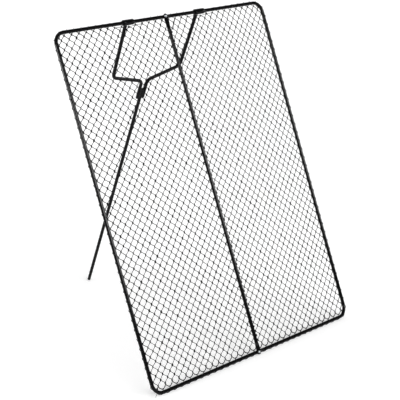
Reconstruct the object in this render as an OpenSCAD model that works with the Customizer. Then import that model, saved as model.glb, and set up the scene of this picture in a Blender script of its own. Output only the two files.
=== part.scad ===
/* [Frame] */
// Width of the frame between the centre lines of its two sides
frame_w = 752; // [560:1:1000]
// Height of the frame between the centre lines of its top and bottom rails
frame_h = 955; // [760:1:1200]
// Radius of the corners at the centre line of the tube
corner_r = 30; // [20:1:60]
// Outside diameter of the frame's tube
rail_d = 10; // [8:0.5:13]
// Wall of all the tube
tube_wall = 1; // [0.8:0.1:1.5]
// Angle by which the frame leans back from upright
lean = 23; // [15:1:30]
// Distance of the seam between the two halves from the middle of the rail
seam_x = 14; // [10:1:30]
// Length of the reduced ends of one half that plug into the other
plug_len = 40; // [30:1:80]
// Play on the diameter between a reduced end and the tube round it
plug_play = 0.1; // [0.05:0.05:0.3]

/* [Net] */
// Number of half meshes across the net
cells_x = 21; // [9:2:21]
// Number of half meshes down the net
cells_y = 25; // [11:2:25]
// Width of a strand
strand_w = 2; // [1:0.1:3]
// Thickness of the net
net_t = 1.2; // [0.8:0.1:2]
// Gap between the edge of the net and what it lies against
net_gap = 0.3; // [0.2:0.1:0.6]

/* [Lacing] */
// Diameter of the cord that laces the net to the frame
lace_d = 1.6; // [1:0.1:2]
// Gap between the cord and the tube that it goes round
lace_gap = 0.05; // [0.05:0.05:0.3]
// Distance that the cord moves along the tube in one turn
lace_step = 6; // [4:0.5:12]
// Meshes of the net from one turn of the cord to the next
lace_every = 2; // [2:1:4]
// Distance between the end of a run of cord and the bend or sleeve beside it
lace_margin = 3; // [2:0.5:10]

/* [Centre bar] */
// Outside diameter of the bar's tube
bar_d = 10; // [8:0.5:13]
// Width of the bar's flattened ends
lug_w = 14.5; // [12:0.5:18]
// Length of a flattened end from the screw to where it starts to round out
lug_len = 15; // [10:1:30]
// Length over which a flattened end rounds out into the tube
taper_len = 16; // [8:1:30]

/* [Fasteners] */
// Diameter of the screws' shanks
screw_d = 4; // [3:0.5:5]
// Diameter of the screws' heads
head_d = 8; // [7:0.5:10]
// Height of the screws' heads
head_h = 2.5; // [2:0.1:3]
// Play on the diameter of the screw holes
hole_play = 0.3; // [0.1:0.1:0.6]
// Width of the nuts across their flats
nut_w = 7; // [6.5:0.5:9]
// Height of the nuts
nut_h = 3.2; // [2.5:0.1:4]
// Length of a screw's end past its nut
screw_past = 1; // [0.5:0.1:2]

/* [Stand] */
// Outside diameter of the stand's tube
stand_d = 10; // [8:0.5:13]
// Distance between the middles of the two hinge sleeves
sleeve_gap = 260; // [200:1:320]
// Length of a hinge sleeve
sleeve_len = 34; // [20:1:50]
// Wall of a hinge sleeve
sleeve_wall = 2.94; // [2:0.02:4]
// Running clearance on the radius between a sleeve and the top rail
hinge_play = 0.06; // [0.03:0.01:0.1]
// Distance between the middle of the net and the arms when they are folded against it
arm_clear = 1.5; // [1.5:0.1:4]
// Distance of the arms' outer bends from the middle of the stand
bend_x = 124.5; // [80:0.5:150]
// Distance of the outer bends below the hinge axis
bend_drop = 180; // [120:1:260]
// Distance of the inner bends below the outer bends
inner_drop = 30; // [15:1:60]
// Distance of the arms' lower ends below the inner bends
arm_tail = 58; // [48:1:90]
// Radius of the arms' bends at the centre line of the tube
arm_bend_r = 17; // [13:1:20]
// Height of the leg's top end above the arms' lower ends
leg_overlap = 30; // [24:1:40]
// Length of the leg's tip past the bottom rail when the stand is folded
leg_past = 6; // [0:1:30]
// Length of the weld beads beside the leg
weld_len = 20; // [10:1:22]

/* [Hidden] */
// Facets of round shapes
$fn = 48;

// Frame
rail_r = rail_d / 2;
bore_r = rail_r - tube_wall;
plug_r = bore_r - plug_play / 2;
straight_x = frame_w / 2 - corner_r;
shoulder = 6;
past = 1;
bend_draw = 0.03;
bend_lap = 0.3;

// Lacing: a turn has one ring of points straight below the bottom rail
lace_r = lace_d / 2;
lace_rings = 9;
lace_sides = 6;
lace_turn_r = (rail_r + lace_gap + lace_r) / cos(180 / lace_rings);
lace_reach = lace_turn_r + lace_r;
lace_start = 180 + lean - 6 * 360 / lace_rings;
lace_flat = lace_d / 10;
lace_end = 8;

// Places: the bottom rail lies on its lacing, and the leg's tip on the floor
rail_z = lace_reach - lace_flat;
hinge_z = rail_z + frame_h * cos(lean);
stand_r = stand_d / 2;
arm_setback = stand_r + arm_clear;
leg_reach = frame_h + leg_past;
tip_s = leg_reach - stand_r;
stand_angle = acos((hinge_z - stand_r) / norm([tip_s, arm_setback])) - atan(arm_setback / tip_s);

// Centre bar: its flattened ends lie on the front of the rails
bar_r = bar_d / 2;
bar_bore_r = bar_r - tube_wall;
lug_t = 2 * tube_wall + 0.2;
bar_n = rail_r + lug_t / 2;
bar_tube_v = lug_len + taper_len;
slab = 0.01;
taper_sides = 32;
taper_rise = 0.03;

// Fasteners
hole_r = (screw_d + hole_play) / 2;
head_n = rail_r + lug_t;
nut_play = 0.05;
slot_w = 0.9;
slot_len = 4.4;
slot_deep = 1.3;

// Net: the outermost nodes lie just inside the tube
net_edge = rail_r + net_gap;
net_w = frame_w - 2 * (net_edge + strand_w / 2);
net_h = frame_h - 2 * (net_edge + strand_w / 2);
cell_x = net_w / cells_x;
cell_y = net_h / cells_y;
mesh_scale = 1 - strand_w * norm([cell_x, cell_y]) / (2 * cell_x * cell_y);

// Stand
sleeve_x = sleeve_gap / 2;
sleeve_bore_r = rail_r + hinge_play;
sleeve_r = sleeve_bore_r + sleeve_wall;
cope_gap = 0.05;
arm_end_x = stand_d + 0.1;
inner_s = bend_drop + inner_drop;
arm_end_s = inner_s + arm_tail;
top_heading = 90 + atan((sleeve_x - bend_x) / bend_drop);
run_heading = 180 - atan(inner_drop / (bend_x - arm_end_x));
outer_turn = run_heading - top_heading;
inner_turn = 90 - run_heading;
outer_len = arm_bend_r * tan(outer_turn / 2);
inner_len = -arm_bend_r * tan(inner_turn / 2);
leg_top_s = arm_end_s - leg_overlap;
weld_inset = 3;
top_cap = 14;
tip_collar = 1.5;
tip_stem = 18;
tip_play = 0.1;
weld_r = 2;
weld_rise = 0.68;
collar_out = 1.8;
collar_up = 1.6;

// Depth of the whole from the front screw to the back of the leg's tip, centred on the origin
front_reach = (head_n + head_h) * cos(lean) + head_d / 4 * sin(lean);
back_reach = frame_h * sin(lean) + tip_s * sin(stand_angle) + arm_setback * cos(stand_angle) + stand_r;
rail_y = (front_reach - back_reach) / 2;
hinge_y = rail_y + frame_h * sin(lean);

// ---- Places of the two flat assemblies ----

// The frame's own plane: X along the rails, Y up the frame, Z out of its front
module on_frame() {
    translate([0, rail_y, rail_z]) rotate([90 - lean, 0, 0]) children();
}

// The stand's own plane: X along the hinge, Y down the leg, Z out of its back
module on_stand() {
    translate([0, hinge_y, hinge_z]) rotate([stand_angle - 90, 0, 0]) children();
}

// ---- Tubes ----

// A round rod along X
module rod_x(x0, x1, r) {
    translate([x0, 0, 0]) rotate([0, 90, 0]) cylinder(h = x1 - x0, r = r);
}

// The place after a bend that starts at the origin along X
module past_bend(turn, bend_r) {
    translate([0, sign(turn) * bend_r, 0]) rotate(turn) translate([0, -sign(turn) * bend_r, 0]) children();
}

// A bend: it draws the tube in by a hair
module bend(turn, r, bend_r) {
    translate([0, sign(turn) * bend_r, 0]) rotate(turn > 0 ? -90 : 90 + turn)
        rotate_extrude(angle = abs(turn)) translate([bend_r, 0]) circle(r - bend_draw);
}

// A rod from the origin along X, whose steps are a length, a turn, a length and so on
module bent_rod(steps, r, bend_r, from = 0) {
    more = len(steps) > 1;
    rod_x(from, steps[0] + (more ? bend_lap : 0), r);
    if (more)
        translate([steps[0], 0, 0]) {
            bend(steps[1], r, bend_r);
            past_bend(steps[1], bend_r)
                bent_rod([for (i = [2 : len(steps) - 1]) steps[i]], r, bend_r, -bend_lap);
        }
}

// ---- Frame ----

// Half the frame, from the seam in the top rail round two corners to the seam in the bottom rail
module half_frame(side, r, from = 0) {
    rail_len = straight_x + side * seam_x;
    mirror([side < 0 ? 1 : 0, 0, 0]) translate([side * seam_x, frame_h, 0]) rotate(180)
        bent_rod([rail_len, 90, frame_h - 2 * corner_r, 90, rail_len - from], r, corner_r, from);
}

// Holes for the two screws, through both walls of the rails
module rail_holes() {
    for (v = [0, frame_h])
        translate([0, v, -rail_r - past]) cylinder(h = rail_d + 2 * past, r = hole_r);
}

module frame_left() {
    color("#161616") on_frame() difference() {
        half_frame(1, rail_r);
        half_frame(1, bore_r, -past);
        rail_holes();
    }
}

module frame_right() {
    color("#161616") on_frame() difference() {
        union() {
            half_frame(-1, rail_r);
            for (v = [0, frame_h])
                translate([0, v, 0]) rod_x(seam_x - plug_len, seam_x + past, plug_r);
        }
        half_frame(-1, bore_r, shoulder);
        for (v = [0, frame_h])
            translate([0, v, 0]) rod_x(seam_x - plug_len - past, seam_x + shoulder + past, plug_r - tube_wall);
        rail_holes();
    }
}

// ---- Centre bar and its fasteners ----

// One flattened end, with its screw at the origin and the bar running up from it
module bar_end() {
    translate([0, 0, -lug_t / 2]) linear_extrude(lug_t) {
        circle(lug_w / 2);
        translate([-lug_w / 2, 0]) square([lug_w, lug_len]);
    }
    hull() {
        translate([-lug_w / 2, lug_len, -lug_t / 2]) cube([lug_w, slab, lug_t]);
        translate([0, bar_tube_v - slab, 0]) rotate([-90, 0, 0])
            cylinder(h = slab, r = (bar_r + taper_rise) / cos(180 / taper_sides), $fn = taper_sides);
    }
}

module centre_bar() {
    color("#1a1a1a") on_frame() translate([0, 0, bar_n]) difference() {
        union() {
            bar_end();
            translate([0, frame_h, 0]) mirror([0, 1, 0]) bar_end();
            translate([0, bar_tube_v, 0]) rotate([-90, 0, 0])
                cylinder(h = frame_h - 2 * bar_tube_v, r = bar_r);
        }
        translate([0, bar_tube_v + past, 0]) rotate([-90, 0, 0])
            cylinder(h = frame_h - 2 * (bar_tube_v + past), r = bar_bore_r);
        for (v = [0, frame_h])
            translate([0, v, -lug_t]) cylinder(h = 2 * lug_t, r = hole_r);
    }
}

// Outline of a screw turned about its axis: domed head above a plain shank
function screw_outline(shank) = [
    [0, head_h],
    [head_d * 0.25, head_h],
    [head_d * 0.4, head_h * 0.8],
    [head_d / 2, head_h * 0.36],
    [head_d / 2, 0],
    [screw_d / 2, 0],
    [screw_d / 2, -shank],
    [0, -shank]
];

module bar_screws() {
    color("#c9ccce") on_frame() for (v = [0, frame_h])
        translate([0, v, head_n]) difference() {
            rotate_extrude() polygon(screw_outline(head_n + rail_r + nut_h + screw_past));
            for (a = [45, 135])
                rotate(a) translate([-slot_len / 2, -slot_w / 2, head_h - slot_deep])
                    cube([slot_len, slot_w, slot_deep + past]);
        }
}

module bar_nuts() {
    color("#c9ccce") on_frame() for (v = [0, frame_h])
        translate([0, v, -rail_r - nut_h]) difference() {
            cylinder(h = nut_h, r = nut_w / sqrt(3), $fn = 6);
            translate([0, 0, -past]) cylinder(h = nut_h + 2 * past, r = screw_d / 2 + nut_play);
        }
}

// ---- Net ----

// The net's outline: the frame's opening, less the gap and the room for the sleeves
module net_outline() {
    inset = net_edge;
    r = corner_r - inset;
    difference() {
        union() {
            translate([-frame_w / 2 + corner_r, inset]) square([frame_w - 2 * corner_r, frame_h - 2 * inset]);
            translate([-frame_w / 2 + inset, corner_r]) square([frame_w - 2 * inset, frame_h - 2 * corner_r]);
            for (x = [-1, 1], v = [corner_r, frame_h - corner_r])
                translate([x * straight_x, v]) circle(r);
        }
        for (x = [-1, 1])
            translate([x * sleeve_x, frame_h])
                square([sleeve_len + 2 * past, 2 * (sleeve_r + net_gap)], center = true);
    }
}

// One opening of the net, centred on the origin
module mesh_opening() {
    w = cell_x * mesh_scale;
    h = cell_y * mesh_scale;
    polygon([[w, 0], [0, h], [-w, 0], [0, -h]]);
}

module net() {
    color("#202020") on_frame() translate([0, 0, -net_t / 2]) linear_extrude(net_t) difference() {
        net_outline();
        for (i = [0 : cells_x], j = [0 : cells_y])
            if ((i + j) % 2 == 1)
                translate([i * cell_x - net_w / 2, j * cell_y + (frame_h - net_h) / 2]) mesh_opening();
    }
}

// ---- Lacing ----

// A point round a tube: distance along it, and angle from the net's side towards the back
function round_tube(x, a) = [x, lace_turn_r * cos(a), lace_turn_r * sin(a)];

// The cord's route: along the tube beside the net, and once round it at each turn
function lace_route(turns, lo, hi) = concat(
    [round_tube(lo, lace_start)],
    [for (x = turns, k = [0 : lace_rings])
        round_tube(x + lace_step * (k / lace_rings - 0.5), lace_start - 360 * k / lace_rings)],
    [round_tube(hi, lace_start)]
);

// Directions at a point of the route
function unit(v) = v / norm(v);
function along(p, i) = unit(p[min(i + 1, len(p) - 1)] - p[max(i - 1, 0)]);
function outward(p, i) = let (t = along(p, i), o = unit([0, p[i].y, p[i].z])) unit(o - (o * t) * t);

// A closed tube swept along the route
module lace_tube(p) {
    n = len(p);
    m = lace_sides;
    points = [for (i = [0 : n - 1], j = [0 : m - 1])
        p[i] + lace_r * (cos(360 * j / m) * outward(p, i)
            + sin(360 * j / m) * cross(along(p, i), outward(p, i)))];
    walls = [for (i = [0 : n - 2], j = [0 : m - 1], half = [0, 1])
        let (a = i * m + j, b = i * m + (j + 1) % m)
            half == 0 ? [a, a + m, b] : [b, a + m, b + m]];
    caps = [for (j = [1 : m - 2], last = [0, 1])
        last == 0 ? [0, j, j + 1] : [(n - 1) * m, (n - 1) * m + j + 1, (n - 1) * m + j]];
    polyhedron(points = points, faces = concat(walls, caps));
}

// Middles of the net's edge openings between two limits, from a given half mesh and clear of the bar's ends
bar_clear = lug_w / 2 + lace_step / 2 + lace_d + past;
function openings_x(first, lo, hi) = [for (i = [first : 2 : cells_x])
    let (x = i * cell_x - net_w / 2) if (x > lo && x < hi && abs(x) > bar_clear) x];
function openings_y(first, lo, hi) = [for (j = [first : 2 : cells_y])
    let (y = j * cell_y + (frame_h - net_h) / 2) if (y > lo && y < hi) y];
function spaced(list) = [for (k = [0 : lace_every : len(list) - 1]) list[k]];

// Limits of the runs: short of the corner bends, and short of the sleeves
run_lo = lace_margin + lace_end;
run_x = straight_x - lace_margin;
sleeve_out = sleeve_x + sleeve_len / 2 + lace_margin;
sleeve_in = sleeve_x - sleeve_len / 2 - lace_margin;
side_lo = corner_r + lace_margin;
side_hi = frame_h - corner_r - lace_margin;

bottom_turns = spaced(openings_x(1, -run_x + lace_end, run_x - lace_end));
left_turns = spaced(openings_y(1, side_lo + lace_end, side_hi - lace_end));
right_turns = spaced(openings_y(2, side_lo + lace_end, side_hi - lace_end));
top_left_turns = spaced(openings_x(2, -run_x + lace_end, -sleeve_out - lace_end));
top_middle_turns = spaced(openings_x(2, -sleeve_in + lace_end, sleeve_in - lace_end));
top_right_turns = spaced(openings_x(2, sleeve_out + lace_end, run_x - lace_end));

// A run of lacing along the bottom rail, cut flat where the frame stands on it
module lacing_bottom() {
    color("#101010") difference() {
        on_frame() lace_tube(lace_route(bottom_turns, -run_x, run_x));
        translate([-frame_w, rail_y - rail_d, -rail_d]) cube([2 * frame_w, 2 * rail_d, rail_d]);
    }
}

// Lists of places seen from a rail that is turned end for end
function reversed(list) = [for (k = [len(list) - 1 : -1 : 0]) -list[k]];

module on_left() { on_frame() translate([-frame_w / 2, 0, 0]) rotate(-90) children(); }
module on_right() { on_frame() translate([frame_w / 2, 0, 0]) rotate(90) children(); }
module on_top() { on_frame() translate([0, frame_h, 0]) rotate(180) children(); }

module lacing_left() {
    color("#101010") on_left() lace_tube(lace_route(reversed(left_turns), -side_hi, -side_lo));
}

module lacing_right() {
    color("#101010") on_right() lace_tube(lace_route(right_turns, side_lo, side_hi));
}

module lacing_top_left() {
    color("#101010") on_top() lace_tube(lace_route(reversed(top_left_turns), sleeve_out, run_x));
}

module lacing_top_middle() {
    color("#101010") on_top() lace_tube(lace_route(reversed(top_middle_turns), -sleeve_in, sleeve_in));
}

module lacing_top_right() {
    color("#101010") on_top() lace_tube(lace_route(reversed(top_right_turns), -run_x, -sleeve_out));
}

// Least gap between parts of one run that lie more than half a turn apart
function self_gap(p) = min([for (i = [0 : len(p) - 1], j = [i + lace_rings / 2 : len(p) - 1])
    norm(p[i] - p[j])]) - lace_d;
echo(least_gap_of_the_lacing_to_itself = self_gap(lace_route(bottom_turns, -run_x, run_x)));

// ---- Stand ----

// A hinge sleeve on the top rail
module sleeve(side) {
    color("#1a1a1a") on_stand() translate([side * sleeve_x, 0, 0]) difference() {
        rod_x(-sleeve_len / 2, sleeve_len / 2, sleeve_r);
        rod_x(-sleeve_len / 2 - past, sleeve_len / 2 + past, sleeve_bore_r);
    }
}

module left_sleeve() { sleeve(-1); }
module right_sleeve() { sleeve(1); }

// The right arm's rod: down from its sleeve, in towards the leg and down beside it
module arm_rod(r, from_top = 0, from_end = 0) {
    steps = [
        norm([sleeve_x - bend_x, bend_drop]) - outer_len,
        outer_turn,
        norm([bend_x - arm_end_x, inner_drop]) - outer_len - inner_len,
        inner_turn,
        arm_tail - inner_len - from_end
    ];
    translate([sleeve_x, 0, arm_setback]) rotate(top_heading) bent_rod(steps, r, arm_bend_r, from_top);
}

// An arm: its top end is cut to lie on the back of its sleeve
module arm(side) {
    color("#161616") on_stand() mirror([side < 0 ? 1 : 0, 0, 0]) difference() {
        arm_rod(stand_r);
        arm_rod(stand_r - tube_wall, top_cap, -past);
        rod_x(sleeve_x - sleeve_len, sleeve_x + sleeve_len, sleeve_r + cope_gap);
    }
}

module left_arm() { arm(-1); }
module right_arm() { arm(1); }

// A straight rod down the stand's plane
module rod_s(x, s0, s1, r) {
    translate([x, s0, arm_setback]) rotate([-90, 0, 0]) cylinder(h = s1 - s0, r = r);
}

module leg() {
    color("#161616") on_stand() difference() {
        rod_s(0, leg_top_s, tip_s - tip_collar, stand_r);
        rod_s(0, leg_top_s - past, tip_s, stand_r - tube_wall);
    }
}

// The leg's tip: a domed plug whose stem fills the tube's end
module leg_tip() {
    color("#0c0c0c") on_stand() translate([0, tip_s, arm_setback]) rotate([-90, 0, 0]) rotate_extrude() {
        intersection() {
            circle(stand_r);
            square(stand_r);
        }
        translate([0, -tip_collar]) square([stand_r, tip_collar + 0.5]);
        translate([0, -tip_collar - tip_stem]) square([stand_r - tube_wall - tip_play / 2, tip_stem + 0.5]);
    }
}

// Beads down both sides of the arms' tops where they meet their sleeves
module sleeve_welds() {
    color("#1e1e1e") on_stand() for (side = [-1, 1])
        mirror([side < 0 ? 1 : 0, 0, 0]) difference() {
            intersection() {
                rod_x(sleeve_x - sleeve_len / 2, sleeve_x + sleeve_len / 2, sleeve_r + collar_up);
                arm_rod(stand_r + collar_out);
                translate([sleeve_x - sleeve_len / 2, 0, arm_setback - stand_r])
                    cube([sleeve_len, sleeve_r * 2, sleeve_r * 2]);
            }
            rod_x(0, 2 * sleeve_x, sleeve_r);
            arm_rod(stand_r);
        }
}

// Beads in the four grooves between the leg and the arms' lower ends
module leg_welds() {
    color("#1e1e1e") on_stand() difference() {
        for (x = [-1, 1], z = [-1, 1])
            translate([x * arm_end_x / 2, arm_end_s - weld_len - weld_inset, arm_setback + z * weld_rise * stand_r])
                rotate([-90, 0, 0]) cylinder(h = weld_len, r = weld_r);
        for (x = [-arm_end_x, 0, arm_end_x])
            rod_s(x, leg_top_s - past, arm_end_s + past, stand_r);
    }
}

frame_left();
frame_right();
centre_bar();
bar_screws();
bar_nuts();
net();
lacing_bottom();
lacing_left();
lacing_right();
lacing_top_left();
lacing_top_middle();
lacing_top_right();
left_sleeve();
right_sleeve();
left_arm();
right_arm();
leg();
leg_tip();
sleeve_welds();
leg_welds();
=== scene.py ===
"""Looks of a chipping net: a leaning tube frame laced to a knotted net, with a folding stand behind it.

Sizes are in millimetres in the two flat assemblies' own planes, and Plane.place turns them to metres.
"""

import logging
import math
from dataclasses import dataclass, field
from enum import Enum

import bpy
import numpy as np
from mathutils import Euler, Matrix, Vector


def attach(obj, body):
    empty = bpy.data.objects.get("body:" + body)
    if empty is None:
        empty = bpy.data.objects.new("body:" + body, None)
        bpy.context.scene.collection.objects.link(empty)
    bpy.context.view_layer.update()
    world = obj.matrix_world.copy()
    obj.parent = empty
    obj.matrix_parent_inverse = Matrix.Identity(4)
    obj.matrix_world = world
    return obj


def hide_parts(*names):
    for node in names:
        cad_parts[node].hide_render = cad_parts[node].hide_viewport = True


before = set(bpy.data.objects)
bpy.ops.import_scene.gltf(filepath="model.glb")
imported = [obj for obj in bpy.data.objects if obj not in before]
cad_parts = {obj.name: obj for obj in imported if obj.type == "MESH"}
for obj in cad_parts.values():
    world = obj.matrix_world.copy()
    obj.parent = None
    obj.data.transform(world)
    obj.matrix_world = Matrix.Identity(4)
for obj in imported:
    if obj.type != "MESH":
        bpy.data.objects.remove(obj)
bpy.context.view_layer.update()

log = logging.getLogger("chipping_net")
Array = np.ndarray

MM = 0.001
TURN = 2 * math.pi
WHITE = (1.0, 1.0, 1.0, 1.0)
NET_BODY, STAND_BODY = "net_frame", "stand"

# A plane's own directions: along the hinge line, along the plane and out of it
X_WAY, Y_WAY, OUT_WAY = np.eye(3)

# Sizes that several sub-assemblies share
FRAME_W, FRAME_H, CORNER_R = 752.0, 955.0, 30.0
TUBE_R, BORE_R = 5.0, 4.0
SEAM_X = 14.0
SLEEVE_X, SLEEVE_LEN, SLEEVE_R = 130.0, 34.0, 8.0
STRAIGHT_X = FRAME_W / 2 - CORNER_R
CORD_R = 0.8
BEND_EASE = 6.0


# ---- Planes, routes and surfaces ----

@dataclass(frozen=True)
class Plane:
    """A flat assembly's own plane: x along the hinge line, y along the plane, n out of it.

    It leans back by tilt degrees. rise is 1 where y runs up, with n out of the front, and -1 where y runs
    down, with n out of the back.
    """

    origin: tuple[float, float, float]
    tilt: float
    rise: int

    def place(self, local: Array) -> Array:
        """Turns local points into points of the row frame.

        Args:
            local: points (..., 3) in millimetres.

        Returns:
            Points (..., 3) in metres: origin + x X + y along + n out.
        """
        s, c = math.sin(math.radians(self.tilt)), math.cos(math.radians(self.tilt))
        axes = np.array([(1.0, 0.0, 0.0), (0.0, s, self.rise * c), (0.0, -self.rise * c, s)])
        return (np.array(self.origin) + local @ axes) * MM


FRAME_PLANE = Plane((0.0, -369.9, 6.86544), 23.0, 1)
STAND_PLANE = Plane((0.0, 3.24837, 885.948), 22.4682, -1)


def around(sides: int) -> Array:
    """Angles of the points of a ring, in radians."""
    return np.arange(sides) * TURN / sides


def unit(vectors: Array) -> Array:
    """Vectors (..., 3) made one long."""
    return vectors / np.linalg.norm(vectors, axis=-1, keepdims=True)


def left_of(heading: Array | float) -> Array:
    """Unit directions in the plane, a quarter turn left of headings in radians."""
    return np.stack([-np.sin(heading), np.cos(heading), 0 * heading], -1)


def run_length(points: Array) -> Array:
    """Length along each path of points (..., n, 3), from its start to each point."""
    steps = np.diff(points, axis=-2, prepend=points[..., :1, :])
    return np.cumsum(np.linalg.norm(steps, axis=-1), axis=-1)


def signed_power(values: Array, power: Array | float) -> Array:
    """A power of the size that keeps the sign: sign(x) |x|^p."""
    return np.sign(values) * np.abs(values) ** power


@dataclass(frozen=True)
class BentRoute:
    """A flat route of straight lengths joined by bends of one radius, as a tube bender makes it.

    steps is a length, a turn in degrees (left is positive), a length and so on.
    """

    start: tuple[float, float]
    heading: float
    steps: tuple[float, ...]
    bend_r: float

    def marks(self) -> Array:
        """Lengths along the route at which its steps start, and the whole length."""
        sizes = [self.bend_r * abs(math.radians(step)) if number % 2 else step
                 for number, step in enumerate(self.steps)]
        return np.cumsum([0.0] + sizes)

    def at(self, s: Array) -> tuple[Array, Array]:
        """Points and directions at lengths along the route.

        Straight: here + t ahead. Bend of signed radius R: centre - R left(heading + t / R).

        Args:
            s: lengths along the route.

        Returns:
            Points (n, 3) and unit directions (n, 3) to the route's left.
        """
        points, left = np.zeros((len(s), 3)), np.zeros((len(s), 3))
        here, way = np.array([*self.start, 0.0]), math.radians(self.heading)
        for number, (step, done) in enumerate(zip(self.steps, self.marks())):
            inside = (s >= done) if number else np.ones(len(s), bool)
            t = s[inside] - done
            if number % 2:
                radius = math.copysign(self.bend_r, step)
                centre = here + radius * left_of(way)
                left[inside] = left_of(way + t / radius)
                points[inside] = centre - radius * left[inside]
                way += math.radians(step)
                here = centre - radius * left_of(way)
            else:
                ahead = np.cross(left_of(way), OUT_WAY)
                left[inside] = left_of(way)
                points[inside] = here + t[:, None] * ahead
                here = here + step * ahead
        return points, left

    def stations(self, spacing: float, bend_step: float) -> Array:
        """Lengths for the rings of a sweep: spaced out on the straights, close in the bends."""
        marks, gaps = self.marks(), (spacing, self.bend_r * math.radians(bend_step))
        parts = [done + np.linspace(0.0, size, max(2, round(size / gaps[number % 2]) + 1))[:-1]
                 for number, (done, size) in enumerate(zip(marks, np.diff(marks)))]
        return np.append(np.concatenate(parts), marks[-1])


class Ends(Enum):
    """How the first and last rings of a sweep are finished."""

    JOINED = "joined"
    FLAT = "flat"
    POLES = "poles"


@dataclass
class Surface:
    """Points in metres, four- and three-cornered faces, and each corner of a quad's place on a flat map."""

    points: Array
    quads: Array
    fans: Array
    quad_map: Array


def skin(rings: Array, ends: Ends, along: Array | None = None) -> Surface:
    """Skins rings of points with faces that point outwards.

    A face joins (ring, side), (ring, side + 1), (ring + 1, side + 1) and (ring + 1, side). Its place on the
    map is side / sides across and the length along the sweep, in metres, up.

    Args:
        rings: points (copies, rings, sides, 3), in metres.
        ends: how the ends are closed.
        along: lengths (rings) or (copies, rings) in metres, or none for equal steps of a millimetre.

    Returns:
        The surface of all copies.
    """
    copies, count, sides = rings.shape[:3]
    length = np.broadcast_to(np.arange(count) * MM if along is None else along, (copies, count))
    starts, c = np.arange(count if ends is Ends.JOINED else count - 1), np.arange(sides)
    ring, side = np.meshgrid(starts, c, indexing="ij")
    ring_on, side_on = (ring + 1) % count, (side + 1) % sides
    quad = np.stack([ring * sides + side, ring * sides + side_on,
                     ring_on * sides + side_on, ring_on * sides + side], -1).reshape(-1, 4)
    across = np.stack([side, side + 1, side + 1, side], -1) / sides
    up = np.stack([length[:, row] for row in (ring, ring, ring_on, ring_on)], -1)
    quad_map = np.stack([np.broadcast_to(across, up.shape), up], -1).reshape(-1, 4, 2)
    points, fan, last = rings.reshape(copies, -1, 3), np.zeros((0, 3), int), (count - 1) * sides
    if ends is Ends.POLES:
        points = np.concatenate([points, rings[:, [0, -1]].mean(2)], 1)
        on, pole = (c + 1) % sides, 0 * c + count * sides
        fan = np.concatenate([np.stack([pole, on, c], -1), np.stack([pole + 1, last + c, last + on], -1)])
    elif ends is Ends.FLAT:
        k = np.arange(1, sides - 1)
        fan = np.concatenate([np.stack([0 * k, k + 1, k], -1), last + np.stack([0 * k, k, k + 1], -1)])
    base = np.arange(copies)[:, None, None] * points.shape[1]
    return Surface(points.reshape(-1, 3), (base + quad).reshape(-1, 4), (base + fan).reshape(-1, 3), quad_map)


def gather(parts: list[Surface]) -> Surface:
    """Puts several surfaces into one, without joining their points."""
    shift = np.cumsum([0] + [len(part.points) for part in parts[:-1]])
    return Surface(
        np.concatenate([part.points for part in parts]),
        np.concatenate([part.quads + first for part, first in zip(parts, shift)]),
        np.concatenate([part.fans + first for part, first in zip(parts, shift)]),
        np.concatenate([part.quad_map for part in parts]))


def ring_points(centre: Array, across: Array, above: Array, sides: int, wide: Array | float,
                high: Array | float | None = None) -> Array:
    """Points of a sweep: centre + wide cos a across + high sin a above, for a all round.

    Args:
        centre: middles of the rings (..., 3).
        across: unit directions, (..., 3) or one for all, where a is 0.
        above: unit directions where a is a quarter turn; across x above is the way along.
        sides: points in a ring.
        wide: radii (..., 1) or (..., sides), or one for all.
        high: radii on the other axis, or none for the same.

    Returns:
        Points (..., sides, 3).
    """
    a, high = around(sides), wide if high is None else high
    return (centre[..., None, :] + across[..., None, :] * (wide * np.cos(a))[..., None]
            + above[..., None, :] * (high * np.sin(a))[..., None])


def lip_rings(end: float, radius: float, lip: float) -> tuple[Array, Array]:
    """Lengths and radii of the rings that turn a tube's outside over a small rounded lip at its end."""
    turn = np.linspace(0.0, math.pi / 2, 4)
    return end - lip * (1 - np.sin(turn)), radius - lip * (1 - np.cos(turn))


def lipped(stations: Array, length: float, outer: float, inner: float, lip: float) -> tuple[Array, Array]:
    """Profile of a tube's outside with a lip at both ends, from the bore at the start to the bore at the end.

    Args:
        stations: lengths of the rings between the lips.
        length: of the tube.
        outer: radius outside.
        inner: radius of the bore.
        lip: radius of the rounding.

    Returns:
        Lengths along the tube and radii of the rings.
    """
    end_s, end_r = lip_rings(length, outer, lip)
    edge = [inner + lip / 2]
    return (np.concatenate([[0.0], length - end_s[::-1], stations, end_s, [length]]),
            np.concatenate([edge, end_r[::-1], np.full(len(stations), outer), end_r, edge]))


def tube_rings(route: BentRoute, s: Array, r: Array, n: float, sides: int, oval: float = 0.0) -> Array:
    """Circles carried along a flat route: centre(s) + r(s) (cos a left(s) + sin a out).

    Args:
        route: the centre line.
        s: lengths along it, which may run back for a bore.
        r: radius at each.
        n: height of the route over its plane.
        sides: points in a ring.
        oval: share by which the tube flattens in the bends.

    Returns:
        Points (rings, sides, 3) in millimetres.
    """
    centre, left = route.at(s)
    bent = np.zeros(len(s))
    for start, end in route.marks()[1:-1].reshape(-1, 2):
        ease = min(BEND_EASE, (end - start) / 3)
        bent += np.clip((s - start) / ease, 0, 1) * np.clip((end - s) / ease, 0, 1)
    wide, high = r * (1 - oval * bent), r * (1 + oval / 2 * bent)
    return ring_points(centre + n * OUT_WAY, left, OUT_WAY, sides, wide[:, None], high[:, None])


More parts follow.
